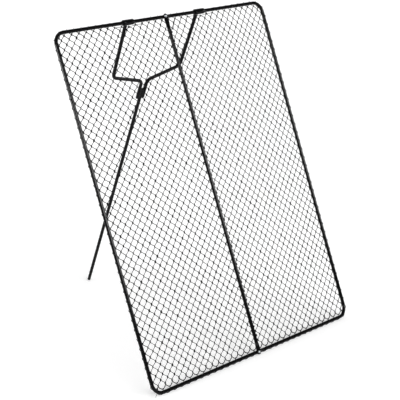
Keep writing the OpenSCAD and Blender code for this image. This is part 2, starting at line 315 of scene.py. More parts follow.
@dataclass(frozen=True)
class LobedKnot:
    """A small tight knot, as rings along its length.

    level is each ring's place as a share of half the length, and lobe its radius as a share of the full one.
    """

    wide: float
    long: float
    thick: float
    level: tuple[float, ...]
    lobe: tuple[float, ...]
    sides: int

    def tie(self, at: Array, across: Array, above: Array, size: Array, thick_size: Array | float) -> Surface:
        """Ties the knot at places in the frame's plane.

        Rings at + size (long level along + wide lobe cos a across) + thick lobe sin a above.

        Args:
            at: middles of the knots (n, 3).
            across: unit directions of their width, (n, 3) or one for all.
            above: unit direction of their thickness.
            size: factors (n) of width and length.
            thick_size: factors of the thickness, (n) or one for all.

        Returns:
            The surface of all the knots.
        """
        level, lobe = np.array(self.level)[:, None], np.array(self.lobe)[:, None]
        size, thick_size = size[:, None, None], np.reshape(thick_size, (-1, 1, 1))
        centre = at[:, None] + size * self.long * level * np.cross(across, above)[..., None, :]
        rings = ring_points(centre, across[..., None, :], above[..., None, :], self.sides,
                            size * self.wide * lobe, thick_size * self.thick * lobe)
        return skin(FRAME_PLANE.place(rings), Ends.POLES)


# ---- Finishes ----

def linear(hex_colour: str) -> tuple[float, float, float, float]:
    """Turns an sRGB hex colour such as #1a2b3c into linear red, green, blue and an alpha of 1."""
    parts = [int(hex_colour[i:i + 2], 16) / 255 for i in (1, 3, 5)]
    lin = [p / 12.92 if p <= 0.04045 else ((p + 0.055) / 1.055) ** 2.4 for p in parts]
    return (lin[0], lin[1], lin[2], 1.0)


def per_metre(size_mm: float) -> float:
    """Scale of a noise or wave whose features are size_mm across, on coordinates in metres."""
    return 1.0 / (size_mm * MM)


def add_node(tree: bpy.types.NodeTree, kind: str, inputs: dict | None = None,
             **settings: object) -> bpy.types.Node:
    """Adds a node, sets its properties and fills or links its inputs.

    Args:
        tree: the node tree.
        kind: the node's type.
        inputs: an output socket or a value for inputs, by name or number.
        **settings: the node's own properties.

    Returns:
        The node.
    """
    node = tree.nodes.new(kind)
    for name, value in settings.items():
        setattr(node, name, value)
    for name, value in (inputs or {}).items():
        if isinstance(value, bpy.types.NodeSocket):
            tree.links.new(value, node.inputs[name])
        else:
            node.inputs[name].default_value = value
    return node


@dataclass(frozen=True)
class Finish:
    """A real material, whose patterns have their real sizes in millimetres."""

    name: str

    def shader(self, tree: bpy.types.NodeTree) -> bpy.types.Node:
        """Builds the nodes up to the surface's shader."""
        raise NotImplementedError

    def material(self) -> bpy.types.Material:
        """The material, with the shader linked to its output."""
        material = bpy.data.materials.new(self.name)
        material.use_nodes = True
        tree = material.node_tree
        tree.nodes.clear()
        add_node(tree, "ShaderNodeOutputMaterial", {"Surface": self.shader(tree).outputs[0]})
        return material


@dataclass(frozen=True)
class TwoTone(Finish):
    """A finish whose colour goes between two shades."""

    colours: tuple[str, str]

    def surface(self, tree: bpy.types.NodeTree, share: bpy.types.NodeSocket, bumps: tuple, inputs: dict
                ) -> bpy.types.Node:
        """The surface's shader.

        Args:
            tree: the node tree.
            share: how much of the second colour there is.
            bumps: height, strength and depth in millimetres of each bump, which lie on each other.
            inputs: the shader's other inputs.

        Returns:
            The shader.
        """
        first, second = (linear(colour) for colour in self.colours)
        colour = add_node(tree, "ShaderNodeMix", {0: share, 6: first, 7: second}, data_type="RGBA")
        under = {}
        for height, strength, depth_mm in bumps:
            values = {"Height": height, "Strength": strength, "Distance": depth_mm * MM}
            under = {"Normal": add_node(tree, "ShaderNodeBump", values | under).outputs[0]}
        return add_node(tree, "ShaderNodeBsdfPrincipled", {"Base Color": colour.outputs[2]} | inputs | under)


@dataclass(frozen=True)
class Enamel(TwoTone):
    """Stove enamel: deep black gloss with a faint orange peel, clouds in the gloss and a few rubbed marks."""

    gloss: tuple[float, float]
    specular: float
    peel_mm: float = 2.5
    peel_bump: tuple[float, float] = (0.35, 0.03)
    cloud_mm: float = 45.0
    cloud_range: tuple[float, float] = (0.3, 0.7)
    rub_mm: float = 9.0
    rub_range: tuple[float, float] = (0.64, 0.74)
    rub_share: tuple[float, float] = (0.0, 0.8)

    def shader(self, tree: bpy.types.NodeTree) -> bpy.types.Node:
        """Peel as bump, clouds in the gloss, rubbed marks in the colour."""
        where = add_node(tree, "ShaderNodeTexCoord").outputs["Object"]
        peel, cloud, rub = (
            add_node(tree, "ShaderNodeTexNoise", {
                "Vector": where, "Scale": per_metre(size), "Detail": detail, "Roughness": rough}).outputs[0]
            for size, detail, rough in (
                (self.peel_mm, 2.0, 0.5), (self.cloud_mm, 3.0, 0.5), (self.rub_mm, 6.0, 0.7)))
        marks, gloss = (
            add_node(tree, "ShaderNodeMapRange", {
                "Value": noise, "From Min": low, "From Max": high, "To Min": to_low, "To Max": to_high}
            ).outputs[0]
            for noise, (low, high), (to_low, to_high) in (
                (rub, self.rub_range, self.rub_share), (cloud, self.cloud_range, self.gloss)))
        return self.surface(tree, marks, ((peel, *self.peel_bump),), {
            "Roughness": gloss, "Specular IOR Level": self.specular, "IOR": 1.5})


@dataclass(frozen=True)
class Clouded(TwoTone):
    """A plain surface with clouds in its colour and gloss over a fine grain."""

    roughness: tuple[float, float]
    metallic: float
    cloud_mm: float
    cloud_detail: float
    grain_mm: float
    grain_bump: tuple[float, float]

    def shader(self, tree: bpy.types.NodeTree) -> bpy.types.Node:
        """Clouds in the colour and the gloss, grain as bump."""
        where = add_node(tree, "ShaderNodeTexCoord").outputs["Object"]
        cloud, grain = (
            add_node(tree, "ShaderNodeTexNoise", {
                "Vector": where, "Scale": per_metre(size), "Detail": detail}).outputs[0]
            for size, detail in ((self.cloud_mm, self.cloud_detail), (self.grain_mm, 2.0)))
        least, most = self.roughness
        rough = add_node(tree, "ShaderNodeMapRange", {"Value": cloud, "To Min": least, "To Max": most})
        return self.surface(tree, cloud, ((grain, *self.grain_bump),), {
            "Metallic": self.metallic, "Roughness": rough.outputs[0]})


@dataclass(frozen=True)
class TwistedFibre(TwoTone):
    """Polyethylene fibre twisted into twine or cord: a dull sheen broken by the lay of its plies, with shade
    painted into the colour of the grooves between them.

    The lay is drawn on the flat map, whose first axis goes once round and whose second is metres of length.
    """

    plies: int
    lay_mm: float
    fibre_mm: float
    roughness: float = 0.65
    specular: float = 0.14
    ply_bump: tuple[float, float] = (0.6, 0.15)
    fibre_bump: tuple[float, float] = (0.4, 0.05)

    def shader(self, tree: bpy.types.NodeTree) -> bpy.types.Node:
        """Diagonal bands of the plies as bump and as painted shade, darker in their grooves, and fibre noise
        as bump and random tone.
        """
        coords = add_node(tree, "ShaderNodeTexCoord").outputs
        # A diagonal wave has its crest every 2 pi / 10 along x + y
        crest = TURN / 10 * self.plies
        lay = add_node(tree, "ShaderNodeMapping", {
            "Vector": coords["UV"], "Scale": (crest, crest * per_metre(self.lay_mm), 0.0)})
        wave = {"Vector": lay.outputs[0], "Scale": 1.0, "Distortion": 0.6, "Detail": 1.0}
        plies = add_node(tree, "ShaderNodeTexWave", wave, bands_direction="DIAGONAL").outputs["Fac"]
        fibre = add_node(tree, "ShaderNodeTexNoise", {
            "Vector": coords["Object"], "Scale": per_metre(self.fibre_mm), "Detail": 3.0}).outputs[0]
        # Painted shade: the colour goes darker in the grooves between plies and lighter on their crests,
        # times a random fibre tone
        painted_ply_shade_and_fibre_tone = add_node(tree, "ShaderNodeMath", {0: plies, 1: fibre}, operation="MULTIPLY")
        return self.surface(tree, painted_ply_shade_and_fibre_tone.outputs[0], ((plies, *self.ply_bump), (fibre, *self.fibre_bump)), {
            "Roughness": self.roughness, "Specular IOR Level": self.specular})


class Slot(Enum):
    """The record's material slots."""

    ENAMEL = "black_enamel"
    ZINC = "zinc_plate"
    TWINE = "net_twine"
    CORD = "lacing_cord"
    TIP = "tip_plastic"


FINISHES: dict[Slot, Finish] = {
    # Tubes: near black, with sharp narrow lights along them
    Slot.ENAMEL: Enamel("black_stove_enamel", ("#070708", "#111112"), gloss=(0.06, 0.1), specular=0.12),

    # Screws and nuts: passivated silver, slightly clouded and finely scratched
    Slot.ZINC: Clouded("bright_zinc_plate", ("#c3c6c8", "#93979a"), roughness=(0.22, 0.42), metallic=1.0,
                       cloud_mm=2.2, cloud_detail=4.0, grain_mm=0.35, grain_bump=(0.2, 0.02)),

    # Net: thin dull black, three plies, with painted shade in the grooves between them
    Slot.TWINE: TwistedFibre("black_netting_twine", ("#0a0a0b", "#1f1f21"), 3, lay_mm=4.5, fibre_mm=0.4),

    # Lacing: dull black with a slow twist of two plies, with painted shade in the grooves between them
    Slot.CORD: TwistedFibre("black_lacing_cord", ("#09090a", "#1e1e20"), 2, lay_mm=9.0, fibre_mm=0.3),

    # Tip: soft satin sheen, a fine spark-eroded grain and faint flow clouds
    Slot.TIP: Clouded("moulded_polyethylene", ("#0d0d0d", "#161616"), roughness=(0.42, 0.55), metallic=0.0,
                      cloud_mm=6.0, cloud_detail=3.0, grain_mm=0.5, grain_bump=(0.3, 0.03)),
}


# ---- Objects ----

def put(name: str, data: bpy.types.ID) -> bpy.types.Object:
    """Puts an object with this data into the scene, at the origin."""
    thing = bpy.data.objects.new(name, data)
    bpy.context.scene.collection.objects.link(thing)
    return thing


def to_mesh(name: str, surface: Surface, sharp: float | None) -> bpy.types.Mesh:
    """Makes the mesh of a surface.

    Args:
        name: the mesh's name.
        surface: what it is made of.
        sharp: edges that fold by more than this many degrees stay sharp, or none for all smooth.

    Returns:
        The mesh, with its flat map.
    """
    mesh = bpy.data.meshes.new(name)
    four, three = len(surface.quads), len(surface.fans)
    corners = np.concatenate([surface.quads.ravel(), surface.fans.ravel()])
    starts = np.concatenate([4 * np.arange(four), 4 * four + 3 * np.arange(three)])
    places = np.concatenate([surface.quad_map.ravel(), np.zeros(6 * three)])
    mesh.vertices.add(len(surface.points))
    mesh.vertices.foreach_set("co", surface.points.astype(np.float32).ravel())
    mesh.loops.add(len(corners))
    mesh.loops.foreach_set("vertex_index", corners.astype(np.int32))
    mesh.polygons.add(four + three)
    mesh.polygons.foreach_set("loop_start", starts.astype(np.int32))
    mesh.uv_layers.new(name="along").data.foreach_set("uv", places.astype(np.float32))
    mesh.update(calc_edges=True)
    mesh.shade_smooth()
    if sharp is not None:
        mesh.set_sharp_from_angle(angle=math.radians(sharp))
    mesh.validate()
    return mesh


@dataclass
class Dresser:
    """Makes the pieces, and gives each its finish, its body and the nodes that it stands for."""

    finishes: dict[Slot, bpy.types.Material] = field(
        default_factory=lambda: {slot: finish.material() for slot, finish in FINISHES.items()})

    def add(self, name: str, surface: Surface, slot: Slot, body: str, *nodes: str,
            sharp: float | None = 40.0) -> None:
        """Adds a finished piece.

        Args:
            name: the piece's name.
            surface: what it is made of.
            slot: its material slot.
            body: the body that it rides on.
            *nodes: the nodes that it stands for.
            sharp: edges that fold by more than this many degrees stay sharp, or none for all smooth.
        """
        piece = put(name, to_mesh(name, surface, sharp))
        piece.data.materials.append(self.finishes[slot])
        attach(piece, body)
        if nodes:
            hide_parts(*nodes)
        triangles = 2 * len(surface.quads) + len(surface.fans)
        log.info("%s: %d triangles, on %s, for %s", name, triangles, body, ", ".join(nodes) or "no node")


# ---- Studio ----

def seen_by(tree: bpy.types.NodeTree, *kinds: str) -> bpy.types.NodeSocket:
    """An output that is 1 for these kinds of ray and 0 for the others."""
    rays = add_node(tree, "ShaderNodeLightPath")
    seen = rays.outputs[f"Is {kinds[0]} Ray"]
    for kind in kinds[1:]:
        both = {0: seen, 1: rays.outputs[f"Is {kind} Ray"]}
        seen = add_node(tree, "ShaderNodeMath", both, operation="MAXIMUM").outputs[0]
    return seen


@dataclass(frozen=True)
class PaleFloor(Finish):
    """Pale matt floor: takes the shadow, and meets the eye and the mirrors as white."""

    name: str = "pale_floor"
    colour: str = "#f4f4f4"
    roughness: float = 0.9
    lift: float = 0.33

    def shader(self, tree: bpy.types.NodeTree) -> bpy.types.Node:
        """White with a glow that only the eye and mirrors see."""
        seen = seen_by(tree, "Camera", "Glossy", "Transmission")
        lift = add_node(tree, "ShaderNodeMath", {0: seen, 1: self.lift}, operation="MULTIPLY")
        return add_node(tree, "ShaderNodeBsdfPrincipled", {
            "Base Color": linear(self.colour), "Roughness": self.roughness, "Specular IOR Level": 0.0,
            "Emission Color": WHITE, "Emission Strength": lift.outputs[0]})


@dataclass(frozen=True)
class Softbox:
    """A long soft lamp far away, as a row of round lamps.

    spots are the azimuth and elevation of each as seen from the object, level is the light of one of them and
    width is how wide it looks, in degrees.
    """

    name: str
    spots: tuple[tuple[float, float], ...]
    level: float
    width: float


@dataclass
class Studio:
    """The camera, a pale floor, plain soft lamps and a pale surrounding."""

    camera_at: tuple[float, float, float] = (-2.1779, -2.4448, 1.4376)
    camera_turn: tuple[float, float, float] = (71.751, 0.0, -43.371)
    lens_mm: float = 107.94
    sensor_mm: float = 36.0
    sight: float = 100.0
    floor_half: float = 30.0
    lamp_far: float = 5.0
    ambient: float = 0.42
    room_side: float = 0.12
    backdrop_from: tuple[float, float] = (0.15, 0.5)
    softboxes: tuple[Softbox, ...] = (
        Softbox("front_softbox", (
            (-19.0, 24.3), (-8.0, 23.9), (3.0, 23.3), (14.0, 22.5), (25.0, 21.2)), 0.5, 11.5),
        Softbox("right_softbox", ((60.0, 12.0), (71.0, 7.0)), 0.4, 12.5),
        Softbox("side_softbox", ((264.0, 6.4), (256.0, 3.4)), 1.7, 13.0),
    )

    def add_camera(self) -> None:
        """Sets up the camera at the viewing angle."""
        data = bpy.data.cameras.new("camera")
        data.lens, data.sensor_width, data.clip_end = self.lens_mm, self.sensor_mm, self.sight
        camera = put("camera", data)
        camera.location = self.camera_at
        camera.rotation_euler = Euler([math.radians(a) for a in self.camera_turn])
        bpy.context.scene.camera = camera

    def add_lamps(self) -> None:
        """Sets up the lamps: azimuth 0 stands in front of the object and 90 at its right."""
        for box in self.softboxes:
            for number, (azimuth, elevation) in enumerate(box.spots, 1):
                data = bpy.data.lights.new(f"{box.name}_{number}", "SUN")
                data.energy, data.angle = box.level, math.radians(box.width)
                a, e = math.radians(azimuth), math.radians(elevation)
                towards = Vector((math.sin(a) * math.cos(e), -math.cos(a) * math.cos(e), math.sin(e)))
                light = put(data.name, data)
                light.location = towards * self.lamp_far
                light.rotation_euler = towards.to_track_quat("Z", "Y").to_euler()

    def add_world(self) -> None:
        """Pale surrounding: white to the eye, softer as light.

        Reflections show the white backdrop behind the object and a dimmer room in front of it.
        """
        world = bpy.data.worlds.new("surrounding")
        world.use_nodes = True
        tree = world.node_tree
        tree.nodes.clear()
        coords = add_node(tree, "ShaderNodeTexCoord").outputs["Generated"]
        way = add_node(tree, "ShaderNodeSeparateXYZ", {0: coords})
        room = add_node(tree, "ShaderNodeMapRange", {
            "Value": way.outputs["Y"], "From Min": self.backdrop_from[0], "From Max": self.backdrop_from[1],
            "To Min": self.room_side, "To Max": 1.0})
        light = add_node(tree, "ShaderNodeMix", {
            0: seen_by(tree, "Glossy", "Transmission"), 2: self.ambient, 3: room.outputs[0]})
        level = add_node(tree, "ShaderNodeMix", {0: seen_by(tree, "Camera"), 2: light.outputs[0], 3: 1.0})
        back = add_node(tree, "ShaderNodeBackground", {"Color": WHITE, "Strength": level.outputs[0]})
        add_node(tree, "ShaderNodeOutputWorld", {"Surface": back.outputs[0]})
        bpy.context.scene.world = world

    def add_floor(self) -> None:
        """A wide pale floor that keeps the shadow and meets the eye as white."""
        half = self.floor_half
        mesh = bpy.data.meshes.new("floor")
        corners = [(-half, -half, 0.0), (half, -half, 0.0), (half, half, 0.0), (-half, half, 0.0)]
        mesh.from_pydata(corners, [], [(0, 1, 2, 3)])
        mesh.materials.append(PaleFloor().material())
        put("floor", mesh)

    def build(self) -> None:
        """Builds the studio, camera first."""
        self.add_camera()
        self.add_lamps()
        self.add_world()
        self.add_floor()
        bpy.context.scene.view_settings.view_transform = "Standard"


# ---- Frame ----

class Side(Enum):
    """A side of the object as seen from its front."""

    LEFT = -1
    RIGHT = 1

    @property
    def word(self) -> str:
        """The side's name in the names of pieces and nodes."""
        return self.name.lower()


@dataclass
class TubeFrame:
    """The rectangular tube frame in two halves, whose seams are right of the middle of both rails."""

    dresser: Dresser
    lip: float = 0.5
    plug_r: float = 3.95
    plug_bore_r: float = 2.95
    plug_x: float = -26.0
    spacing: float = 24.0
    bend_step: float = 3.0
    sides: int = 40
    oval: float = 0.025
    shoulder: float = 6.0
    shoulder_slope: float = 0.5

    def route(self, side: Side) -> BentRoute:
        """Centre line of a half, from the seam in the top rail to the seam in the bottom rail."""
        rail, turn = STRAIGHT_X - side.value * SEAM_X, -side.value * 90.0
        steps = (rail, turn, FRAME_H - 2 * CORNER_R, turn, rail)
        return BentRoute((SEAM_X, FRAME_H), 90.0 + turn, steps, CORNER_R)

    def half(self, side: Side) -> Surface:
        """A half of the frame: tube with its bore, and on the right half the reduced ends that plug in."""
        route = self.route(side)
        stations = route.stations(self.spacing, self.bend_step)
        length, back = stations[-1], stations[::-1]
        s, r = lipped(stations[1:-1], length, TUBE_R, BORE_R, self.lip)
        if side is Side.LEFT:
            s, r = np.concatenate([s, back]), np.concatenate([r, np.full(len(back), BORE_R)])
        else:
            reach, step, slope = SEAM_X - self.plug_x, self.shoulder, self.shoulder_slope
            nose = np.array([-reach, -reach, -reach + self.lip, 0.0])
            nose_r = np.array([self.plug_bore_r, self.plug_r - self.lip, self.plug_r, self.plug_r])
            back = back[(back > step) & (back < length - step)]
            s = np.concatenate([nose, s[1:-1], length - nose[::-1],
                                [length - step, length - step - slope], back, [step + slope, step]])
            r = np.concatenate([nose_r, r[1:-1], nose_r[::-1],
                                [self.plug_bore_r], np.full(len(back) + 2, BORE_R), [self.plug_bore_r]])
        rings = tube_rings(route, s, r, 0.0, self.sides, self.oval)
        run = np.concatenate([[0.0], np.cumsum(np.hypot(np.diff(s), np.diff(r)))])
        return skin(FRAME_PLANE.place(rings)[None], Ends.JOINED, run * MM)

    def build(self) -> None:
        """Builds and dresses both halves."""
        for side in Side:
            name = f"frame_{side.word}"
            self.dresser.add(f"{name}_tube", self.half(side), Slot.ENAMEL, NET_BODY, name)


@dataclass
class CentreBar:
    """The bar down the middle: a tube whose ends are pressed flat and screwed to the front of the rails."""

    dresser: Dresser
    radius: float = 5.0
    lug_half: float = 7.25
    lug_thick: float = 2.2
    lug_len: float = 15.0
    lug_power: float = 0.36
    taper_len: float = 16.0
    sides: int = 48
    screw_r: float = 2.0
    screw_sides: int = 64
    thread_pitch: float = 0.7
    thread_depth: float = 0.3
    thread_out: float = 1.0
    head_r: float = 4.0
    head_h: float = 2.5
    head_rim: float = 0.35
    head_power: float = 3.2
    recess_half: float = 0.62
    recess_wall: float = 0.3
    recess_reach: float = 2.5
    recess_end: float = 0.5
    recess_depth: float = 1.35
    recess_rise: float = 0.25
    nut_w: float = 7.0
    nut_h: float = 3.2
    nut_sides: int = 72
    nut_chamfer: tuple[float, float] = (0.25, 0.6)

    def middle(self) -> float:
        """Height of the bar's centre line above the frame's plane."""
        return TUBE_R + self.lug_thick / 2

    def bar(self) -> Surface:
        """The bar's skin.

        Its section is wide |cos a|^p by high |sin a|^p, signed, where p goes from 1 in the tube to about a
        third in the flattened end, and the end's width follows its round tip.
        """
        reach = self.lug_len + self.taper_len
        tip = -self.lug_half * np.cos(np.linspace(0.04, math.pi / 2, 12))
        low = np.concatenate([tip, [self.lug_len * 0.5], np.linspace(self.lug_len, reach, 13)])
        v = np.concatenate([low, np.linspace(reach, FRAME_H - reach, 40)[1:-1], FRAME_H - low[::-1]])
        from_end = np.minimum(v, FRAME_H - v)
        morph = np.clip((from_end - self.lug_len) / self.taper_len, 0, 1)[:, None]
        morph = morph * morph * (3 - 2 * morph)
        round_tip = np.sqrt(np.clip(1 - (np.clip(-from_end, 0, None) / self.lug_half) ** 2, 0, 1))
        wide = (self.lug_half + (self.radius - self.lug_half) * morph) * round_tip[:, None]
        high = self.lug_thick / 2 + (self.radius - self.lug_thick / 2) * morph
        power, a = self.lug_power + (1 - self.lug_power) * morph, around(self.sides)
        x, n = wide * signed_power(np.cos(a), power), self.middle() - high * signed_power(np.sin(a), power)
        rings = np.stack(np.broadcast_arrays(x, v[:, None], n), -1)
        return skin(FRAME_PLANE.place(rings)[None], Ends.FLAT, v * MM)

    def about_screws(self, radius: Array, z: Array, ends: Ends) -> Surface:
        """Skins rings about both screws' axes: (r cos a, -r sin a, z) and the same at the top rail."""
        a = around(radius.shape[1])
        rings = np.stack(np.broadcast_arrays(radius * np.cos(a), -radius * np.sin(a), z), -1)
        rails = np.outer([0.0, FRAME_H], Y_WAY)
        return skin(FRAME_PLANE.place(rings + rails[:, None, None]), ends)

    def screws(self) -> Surface:
        """Two pan-head screws with a cross recess.

        The head's height is a dome over the radius less the recess, where the distance to the nearer arm's
        line is under the arm's half width. The shank's thread is r - depth tri(z / pitch - a / turn).
        """
        base, a = TUBE_R + self.lug_thick, around(self.screw_sides)
        rho = np.concatenate([np.linspace(0.12, 2.6, 18), np.linspace(2.8, self.head_r, 9)])[:, None]
        dome = self.head_h * np.sqrt(np.clip(1 - (rho / self.head_r) ** self.head_power, 0, 1))
        turned = a - math.radians(45)
        off_arm = rho * np.minimum(np.abs(np.sin(turned)), np.abs(np.cos(turned)))
        arm = np.clip((self.recess_half - off_arm) / self.recess_wall, 0, 1)
        arm = arm * np.clip((self.recess_reach - rho) / self.recess_end, 0, 1)
        head_z = base + np.maximum(dome, self.head_rim) - arm * (self.recess_depth - self.recess_rise * rho)
        end = -(TUBE_R + self.nut_h + self.thread_out)
        shank_z = np.concatenate([
            [base], np.linspace(base, -TUBE_R, 6), np.linspace(-TUBE_R, end, 36)[1:], [end]])[:, None]
        wave = np.abs(((shank_z / self.thread_pitch - a / TURN) % 1) * 2 - 1)
        shank_r = self.screw_r - np.where(shank_z < -TUBE_R, self.thread_depth, 0.0) * wave
        shank_r[0], shank_r[-1] = self.head_r, self.screw_r * 0.6
        radius = np.concatenate([np.broadcast_to(rho, head_z.shape), shank_r])
        z = np.concatenate([head_z, np.broadcast_to(shank_z, shank_r.shape)])
        return self.about_screws(radius, z, Ends.POLES)

    def nuts(self) -> Surface:
        """Two hexagon nuts: r = half width / cos(angle to the nearest flat), with a chamfer at both faces."""
        a, half, h = around(self.nut_sides), self.nut_w / 2, self.nut_h
        hexagon = half / np.cos((a + math.pi / 6) % (math.pi / 3) - math.pi / 6)
        face, mouth, bore = half * 0.98, self.screw_r + 0.35, self.screw_r + 0.05
        cone, corner = self.nut_chamfer
        # Depth under the rail's back, and the largest radius there
        depth, largest = np.array([
            (0.0, mouth), (0.0, face), (cone, face + 0.3), (corner, self.nut_w),
            (h - corner, self.nut_w), (h - cone, face + 0.3), (h, face), (h, mouth),
            (h - 0.2, bore), (0.2, bore)]).T[..., None]
        return self.about_screws(np.minimum(hexagon, largest), -TUBE_R - depth, Ends.JOINED)

    def build(self) -> None:
        """Builds and dresses the bar, its two screws and their nuts."""
        self.dresser.add("centre_bar_tube", self.bar(), Slot.ENAMEL, NET_BODY, "centre_bar", sharp=50.0)
        self.dresser.add("bar_screw_heads", self.screws(), Slot.ZINC, NET_BODY, "bar_screws", sharp=35.0)
        self.dresser.add("bar_hex_nuts", self.nuts(), Slot.ZINC, NET_BODY, "bar_nuts", sharp=25.0)


# ---- Net and lacing ----

NET_KNOT = LobedKnot(2.8, 3.3, 1.15, (-0.92, -0.5, 0.0, 0.5, 0.92), (0.5, 1.0, 0.78, 1.0, 0.5), 6)
BAR_HITCH = LobedKnot(2.4, 3.3, 1.5, (-0.95, -0.6, -0.2, 0.2, 0.6, 0.95),
                      (0.45, 1.0, 0.84, 0.84, 1.0, 0.45), 8)


@dataclass
class KnottedNet:
    """A diamond net of knotted twine: nodes where column + row is even, joined along both diagonals."""

    dresser: Dresser
    columns: int = 62
    rows: int = 74
    left: float = -369.0
    right: float = 369.5
    bottom: float = 8.0
    top: float = 947.0
    # The middle drifts (1 - x^2) (a + b y + c x) sideways and d + y (e + f x) up, fading out near the rails
    drift_side: tuple[float, float, float] = (3.4, 6.8, -1.2)
    drift_up: tuple[float, float, float] = (-3.2, 2.7, -3.4)
    drift_fade: tuple[float, float] = (45.0, 20.0)
    scatter: tuple[float, float, float] = (0.45, 0.5, 0.12)
    scatter_out: float = 0.25
    top_slack: float = 0.8
    sleeve_room: float = 4.4
    sleeve_beside: float = 4.0
    corner_room: float = 2.0
    twine_r: float = 0.88
    leave: float = 1.45
    edge_r: float = 1.0
    bow: float = 0.3
    strand_rings: int = 4
    strand_sides: int = 5
    knot_size: tuple[float, float, float] = (0.13, 0.7, 1.3)
    knot_turn: tuple[float, float] = (-15.0, 9.0)
    edge_knot: float = 0.8
    top_knot: float = 1.2
    loop_r: float = 0.85
    loop_rings: int = 15
    loop_sides: int = 6
    loop_gap: float = 0.85
    loop_lay: float = 14.0
    loop_power: float = 1.25
    seed: int = 11
    points: Array = field(init=False)

    def __post_init__(self) -> None:
        """Places the nodes, points (columns + 1, rows + 1, 3).

        The lattice is even, and then its middle drifts a little, with a small seeded scatter away from the
        edges. The top row hangs off the rail by its slack, on the cord.
        """
        i, j = np.indices((self.columns + 1, self.rows + 1))
        u = self.left + (self.right - self.left) * i / self.columns
        v = self.bottom + (self.top - self.bottom) * j / self.rows
        x, y, near = u / (FRAME_W / 2), v / FRAME_H, np.minimum(v - self.bottom, self.top - v)
        hold_side, hold_up = (1 - np.exp(-near / fade) for fade in self.drift_fade)
        (a, b, c), (d, e, f) = self.drift_side, self.drift_up
        inner = (i > 0) & (i < self.columns) & (j > 0) & (j < self.rows)
        scatter = np.random.default_rng(self.seed).normal(0.0, 1.0, (3,) + u.shape) * inner
        su, sv, sn = self.scatter
        u = u + (1 - x ** 2) * (a + b * y + c * x) * hold_side + su * scatter[0]
        v = v + (d + y * (e + f * x)) * hold_up * np.clip(1.15 - x ** 4, 0, 1) + sv * scatter[1]
        v = v - self.top_slack * (j == self.rows)
        n = np.clip(sn * scatter[2], -self.scatter_out, self.scatter_out)
        # Room for the hinge sleeves on the top rail
        sleeve = np.abs(np.abs(u) - SLEEVE_X) < SLEEVE_LEN / 2 + self.sleeve_beside
        v = np.where(sleeve, np.minimum(v, FRAME_H - SLEEVE_R - self.sleeve_room), v)
        # The corner meshes draw in to the bend's inside
        centre = np.stack([np.sign(u) * STRAIGHT_X, np.where(v > FRAME_H / 2, FRAME_H - CORNER_R, CORNER_R)])
        offset, reach = np.stack([u, v]) - centre, CORNER_R - TUBE_R - self.corner_room
        far = np.hypot(*offset)
        beyond = (np.abs(u) > STRAIGHT_X) & ((v < CORNER_R) | (v > FRAME_H - CORNER_R)) & (far > reach)
        u, v = centre + offset * np.where(beyond, reach / np.maximum(far, 1e-6), 1.0)
        self.points = np.stack([u, v, n], -1)

    def strands(self) -> Surface:
        """Twine between neighbouring nodes: rings round a straight line, bowed by a seeded hair.

        Centre start + t way + bow sin(pi t). Twine leaves a knot from its upper or lower end, which rounds
        the meshes. The outermost meshes use thicker twine, and the lowest are loops of their own.
        """
        i, j = np.indices((self.columns, self.rows))
        rising, knots, leave = ((i + j) % 2 == 0)[..., None], self.points, self.leave * Y_WAY
        start = np.where(rising, knots[:-1, :-1], knots[1:, :-1]) + leave * (j > 0)[..., None]
        end = np.where(rising, knots[1:, 1:], knots[:-1, 1:]) - leave * (j < self.rows - 1)[..., None]
        start, way = start.reshape(-1, 3), (end - start).reshape(-1, 3)
        at_side, at_rail = (i == 0) | (i == self.columns - 1), (j == 0) | (j == self.rows - 1)
        radius = np.where((at_side | at_rail).ravel(), self.edge_r, self.twine_r)
        across = unit(np.cross(OUT_WAY, unit(way)))
        above = np.cross(unit(way), across)
        bow = np.random.default_rng(self.seed + 1).normal(0.0, self.bow, (len(start), 1))
        t = np.linspace(0.0, 1.0, self.strand_rings)
        centre = (start[:, None] + way[:, None] * t[:, None]
                  + across[:, None] * bow[:, None] * np.sin(math.pi * t)[:, None])
        rings = ring_points(centre, across[:, None], above[:, None], self.strand_sides, radius[:, None, None])
        keep = ((j > 0) | at_side).ravel()
        run = t * np.linalg.norm(way, axis=1, keepdims=True)
        return skin(FRAME_PLANE.place(rings[keep]), Ends.FLAT, run[keep] * MM)

    def loops(self) -> Surface:
        """Doubled twine that hangs from the lowest row of knots in rounded loops.

        A loop is half a superellipse: across by cos a |cos a|^(q - 1) and down by |sin a|^q. Its two twines
        lie at plus and minus the gap on a line that turns with the length, as laid rope does.
        """
        i = np.arange(2, self.columns, 2)
        left, right = (self.points[i + step, 1] - self.leave * Y_WAY for step in (-1, 1))
        fall = (self.points[i, 0] - (left + right) / 2) * (1 - X_WAY)
        a = np.linspace(0.0, math.pi, self.loop_rings)[:, None]
        mix, drop = (1 - signed_power(np.cos(a), self.loop_power)) / 2, np.sin(a) ** self.loop_power
        centre = left[:, None] * (1 - mix) + right[:, None] * mix + fall[:, None] * drop
        across = unit(np.cross(OUT_WAY, unit(np.gradient(centre, axis=1))))
        run = run_length(centre)
        turn = (TURN * run / self.loop_lay)[..., None]
        offset = self.loop_gap * (across * np.cos(turn) + OUT_WAY * np.sin(turn))
        pair = np.concatenate([centre + offset, centre - offset])
        rings = ring_points(pair, np.concatenate([across, across]), OUT_WAY, self.loop_sides, self.loop_r)
        return skin(FRAME_PLANE.place(rings), Ends.POLES, np.concatenate([run, run]) * MM)

